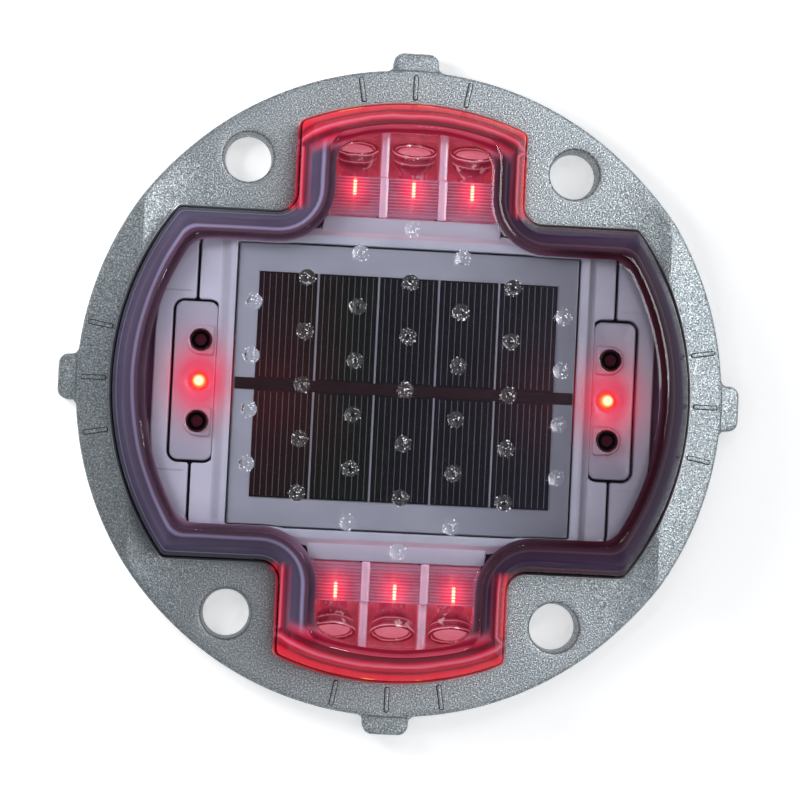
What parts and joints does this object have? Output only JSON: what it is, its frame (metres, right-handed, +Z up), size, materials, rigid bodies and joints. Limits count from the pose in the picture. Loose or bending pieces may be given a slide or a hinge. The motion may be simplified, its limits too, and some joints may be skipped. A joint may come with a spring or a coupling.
{
  "type": "raised pavement marker",
  "caption": "Round solar raised pavement marker: cast aluminium flange for bolts, clear stepped cover over a solar panel, red lights facing out at two ends and in pods at the sides",
  "frame": {"origin": "centre of the face that rests on the road", "axes": "+Z up from the road; the two light windows face +Y and -Y, the single-light pods lie at +X and -X"},
  "size_m": [0.15, 0.15, 0.0219],
  "materials": {
    "cast_aluminium": "sand-textured die casting with a fine sparkle",
    "clear_cover": "clear polycarbonate with a faint violet tint",
    "clear_optic": "clear moulded acrylic",
    "gasket": "dark potting rubber",
    "base": "fine matt moulding",
    "white_trim": "satin off-white moulding",
    "panel_board": "pale resin-sealed board",
    "solar_cell": "near-black silicon under clear resin",
    "ribbon": "dark tinned ribbon",
    "led_board": "white solder mask",
    "led": "lit red light-emitting diode",
    "circuit_board": "green solder mask",
    "component_black": "moulded black",
    "battery_wrap": "shrink-wrapped sleeve",
    "steel": "plain zinc-plated",
    "wire_red": "satin insulation",
    "wire_black": "satin insulation"
  },
  "bodies": {
    "root": {"housing": "cast_aluminium", "lens_cover": "clear_cover", "cover_gasket": "gasket", "base_plate": "base", "base_screw_1": "steel", "base_screw_2": "steel", "base_screw_3": "steel", "base_screw_4": "steel", "panel_frame": "white_trim", "solar_board": "panel_board", "cell_string_north": "solar_cell", "cell_string_south": "solar_cell", "bus_ribbon": "ribbon", "side_carrier_west": "white_trim", "pod_plate_west": "white_trim", "side_led_board_west": "led_board", "side_led_west": "led", "side_carrier_east": "white_trim", "pod_plate_east": "white_trim", "side_led_board_east": "led_board", "side_led_east": "led", "reflector_north": "white_trim", "prism_window_north": "clear_optic", "led_board_north": "led_board", "led_north_1": "led", "collimator_north_1": "clear_optic", "led_north_2": "led", "collimator_north_2": "clear_optic", "led_north_3": "led", "collimator_north_3": "clear_optic", "reflector_south": "white_trim", "prism_window_south": "clear_optic", "led_board_south": "led_board", "led_south_1": "led", "collimator_south_1": "clear_optic", "led_south_2": "led", "collimator_south_2": "clear_optic", "led_south_3": "led", "collimator_south_3": "clear_optic", "main_board": "circuit_board", "board_screw_1": "steel", "board_screw_2": "steel", "board_screw_3": "steel", "board_screw_4": "steel", "controller_chip": "component_black", "inductor": "component_black", "capacitor": "steel", "battery_1": "battery_wrap", "battery_2": "battery_wrap", "nickel_strip": "steel", "panel_wire_red": "wire_red", "panel_wire_black": "wire_black", "battery_wire_red": "wire_red", "battery_wire_black": "wire_black", "north_lamp_wire": "wire_black", "south_lamp_wire": "wire_black"}
  },
  "joints": []
}
